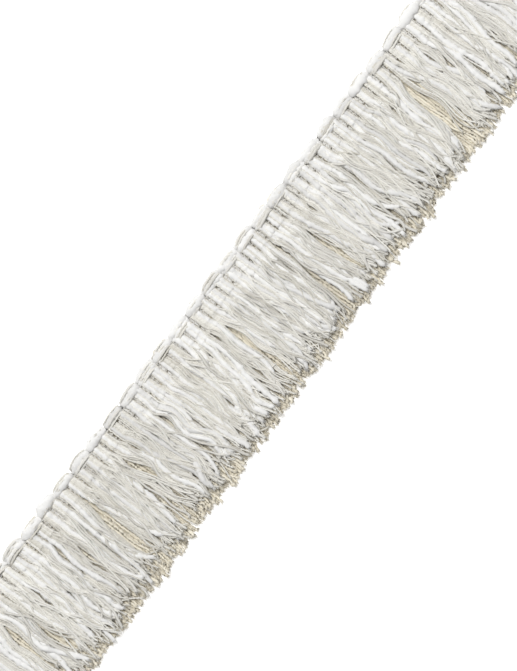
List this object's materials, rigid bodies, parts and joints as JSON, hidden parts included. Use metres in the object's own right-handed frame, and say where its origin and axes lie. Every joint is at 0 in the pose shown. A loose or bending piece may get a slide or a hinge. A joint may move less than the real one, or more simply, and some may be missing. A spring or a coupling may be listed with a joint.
{
  "type": "fringe trim",
  "caption": "Straight length of brush fringe trimming: a looped, chain-stitched heading with a deep layered skirt of loose cut yarns, for sewing along a fabric edge.",
  "frame": {"origin": "on the underside of the trimming as it lies face up, at the middle of its length and of its whole width", "axes": "+X along the trimming, +Y across it from the cut yarn tips to the looped edge, +Z out of its face"},
  "size_m": [0.32, 0.0508, 0.0082],
  "materials": {
    "roving": "matte off-white soft spun roving and twisted cotton yarns",
    "twisted_cord": "matte cream two-ply cotton cord",
    "matte_yarn": "matte pale grey plied yarn",
    "thread": "matte natural twisted sewing thread",
    "back_yarn": "matte ecru plied yarn, cut at its ends"
  },
  "bodies": {
    "heading": {"lower_chain_thread": "thread", "middle_chain_thread": "thread", "upper_chain_thread": "thread", "ground_weft_thread": "thread", "edge_loop_01": "roving", "edge_loop_02": "roving", "edge_loop_03": "roving", "edge_loop_04": "roving", "edge_loop_05": "roving", "edge_loop_06": "roving", "edge_loop_07": "roving", "edge_loop_08": "roving", "edge_loop_09": "roving", "edge_loop_10": "roving", "edge_loop_11": "roving", "edge_loop_12": "roving", "edge_loop_13": "roving", "edge_loop_14": "roving", "edge_loop_15": "roving", "edge_loop_16": "roving", "edge_loop_17": "roving", "edge_loop_18": "roving", "edge_loop_19": "roving", "edge_loop_20": "roving", "edge_loop_21": "roving", "edge_loop_22": "roving", "edge_loop_23": "roving", "edge_loop_24": "roving", "edge_loop_25": "roving", "edge_loop_26": "roving", "edge_loop_27": "roving", "edge_loop_28": "roving", "edge_loop_29": "roving", "edge_loop_30": "roving", "edge_loop_31": "roving", "edge_loop_32": "roving"},
    "skirt_section_01": {"skirt_section_01": "back_yarn"},
    "skirt_section_02": {"skirt_section_02": "back_yarn"},
    "skirt_section_03": {"skirt_section_03": "back_yarn"},
    "skirt_section_04": {"skirt_section_04": "back_yarn"},
    "skirt_section_05": {"skirt_section_05": "back_yarn"},
    "skirt_section_06": {"skirt_section_06": "back_yarn"},
    "skirt_section_07": {"skirt_section_07": "back_yarn"},
    "skirt_section_08": {"skirt_section_08": "back_yarn"},
    "front_hank_01": {"front_hank_01": "roving"},
    "front_hank_02": {"front_hank_02": "roving"},
    "front_hank_03": {"front_hank_03": "roving"},
    "front_hank_04": {"front_hank_04": "roving"},
    "front_hank_05": {"front_hank_05": "roving"},
    "front_hank_06": {"front_hank_06": "roving"},
    "front_hank_07": {"front_hank_07": "roving"},
    "front_hank_08": {"front_hank_08": "roving"},
    "front_hank_09": {"front_hank_09": "roving"},
    "front_hank_10": {"front_hank_10": "roving"},
    "front_hank_11": {"front_hank_11": "roving"},
    "front_hank_12": {"front_hank_12": "roving"},
    "front_hank_13": {"front_hank_13": "roving"},
    "front_hank_14": {"front_hank_14": "roving"},
    "front_hank_15": {"front_hank_15": "roving"},
    "front_hank_16": {"front_hank_16": "roving"}
  },
  "joints": [
    {"name": "skirt_lift_01", "type": "hinge", "parent": "heading", "child": "skirt_section_01", "pos_m": [-0.14, 0.0158, 0.0059], "axis": [-1, 0, 0], "range_deg": [0, 75]},
    {"name": "skirt_lift_02", "type": "hinge", "parent": "heading", "child": "skirt_section_02", "pos_m": [-0.1, 0.0158, 0.0059], "axis": [-1, 0, 0], "range_deg": [0, 75]},
    {"name": "skirt_lift_03", "type": "hinge", "parent": "heading", "child": "skirt_section_03", "pos_m": [-0.06, 0.0158, 0.0059], "axis": [-1, 0, 0], "range_deg": [0, 75]},
    {"name": "skirt_lift_04", "type": "hinge", "parent": "heading", "child": "skirt_section_04", "pos_m": [-0.02, 0.0158, 0.0059], "axis": [-1, 0, 0], "range_deg": [0, 75]},
    {"name": "skirt_lift_05", "type": "hinge", "parent": "heading", "child": "skirt_section_05", "pos_m": [0.02, 0.0158, 0.0059], "axis": [-1, 0, 0], "range_deg": [0, 75]},
    {"name": "skirt_lift_06", "type": "hinge", "parent": "heading", "child": "skirt_section_06", "pos_m": [0.06, 0.0158, 0.0059], "axis": [-1, 0, 0], "range_deg": [0, 75]},
    {"name": "skirt_lift_07", "type": "hinge", "parent": "heading", "child": "skirt_section_07", "pos_m": [0.1, 0.0158, 0.0059], "axis": [-1, 0, 0], "range_deg": [0, 75]},
    {"name": "skirt_lift_08", "type": "hinge", "parent": "heading", "child": "skirt_section_08", "pos_m": [0.14, 0.0158, 0.0059], "axis": [-1, 0, 0], "range_deg": [0, 75]},
    {"name": "front_lift_01", "type": "hinge", "parent": "skirt_section_01", "child": "front_hank_01", "pos_m": [-0.15, 0.0108, 0.0082], "axis": [-1, 0, 0], "range_deg": [0, 105]},
    {"name": "front_lift_02", "type": "hinge", "parent": "skirt_section_01", "child": "front_hank_02", "pos_m": [-0.13, 0.0108, 0.0082], "axis": [-1, 0, 0], "range_deg": [0, 105]},
    {"name": "front_lift_03", "type": "hinge", "parent": "skirt_section_02", "child": "front_hank_03", "pos_m": [-0.11, 0.0108, 0.0082], "axis": [-1, 0, 0], "range_deg": [0, 105]},
    {"name": "front_lift_04", "type": "hinge", "parent": "skirt_section_02", "child": "front_hank_04", "pos_m": [-0.09, 0.0108, 0.0082], "axis": [-1, 0, 0], "range_deg": [0, 105]},
    {"name": "front_lift_05", "type": "hinge", "parent": "skirt_section_03", "child": "front_hank_05", "pos_m": [-0.07, 0.0108, 0.0082], "axis": [-1, 0, 0], "range_deg": [0, 105]},
    {"name": "front_lift_06", "type": "hinge", "parent": "skirt_section_03", "child": "front_hank_06", "pos_m": [-0.05, 0.0108, 0.0082], "axis": [-1, 0, 0], "range_deg": [0, 105]},
    {"name": "front_lift_07", "type": "hinge", "parent": "skirt_section_04", "child": "front_hank_07", "pos_m": [-0.03, 0.0108, 0.0082], "axis": [-1, 0, 0], "range_deg": [0, 105]},
    {"name": "front_lift_08", "type": "hinge", "parent": "skirt_section_04", "child": "front_hank_08", "pos_m": [-0.01, 0.0108, 0.0082], "axis": [-1, 0, 0], "range_deg": [0, 105]},
    {"name": "front_lift_09", "type": "hinge", "parent": "skirt_section_05", "child": "front_hank_09", "pos_m": [0.01, 0.0108, 0.0082], "axis": [-1, 0, 0], "range_deg": [0, 105]},
    {"name": "front_lift_10", "type": "hinge", "parent": "skirt_section_05", "child": "front_hank_10", "pos_m": [0.03, 0.0108, 0.0082], "axis": [-1, 0, 0], "range_deg": [0, 105]},
    {"name": "front_lift_11", "type": "hinge", "parent": "skirt_section_06", "child": "front_hank_11", "pos_m": [0.05, 0.0108, 0.0082], "axis": [-1, 0, 0], "range_deg": [0, 105]},
    {"name": "front_lift_12", "type": "hinge", "parent": "skirt_section_06", "child": "front_hank_12", "pos_m": [0.07, 0.0108, 0.0082], "axis": [-1, 0, 0], "range_deg": [0, 105]},
    {"name": "front_lift_13", "type": "hinge", "parent": "skirt_section_07", "child": "front_hank_13", "pos_m": [0.09, 0.0108, 0.0082], "axis": [-1, 0, 0], "range_deg": [0, 105]},
    {"name": "front_lift_14", "type": "hinge", "parent": "skirt_section_07", "child": "front_hank_14", "pos_m": [0.11, 0.0108, 0.0082], "axis": [-1, 0, 0], "range_deg": [0, 105]},
    {"name": "front_lift_15", "type": "hinge", "parent": "skirt_section_08", "child": "front_hank_15", "pos_m": [0.13, 0.0108, 0.0082], "axis": [-1, 0, 0], "range_deg": [0, 105]},
    {"name": "front_lift_16", "type": "hinge", "parent": "skirt_section_08", "child": "front_hank_16", "pos_m": [0.15, 0.0108, 0.0082], "axis": [-1, 0, 0], "range_deg": [0, 105]}
  ]
}
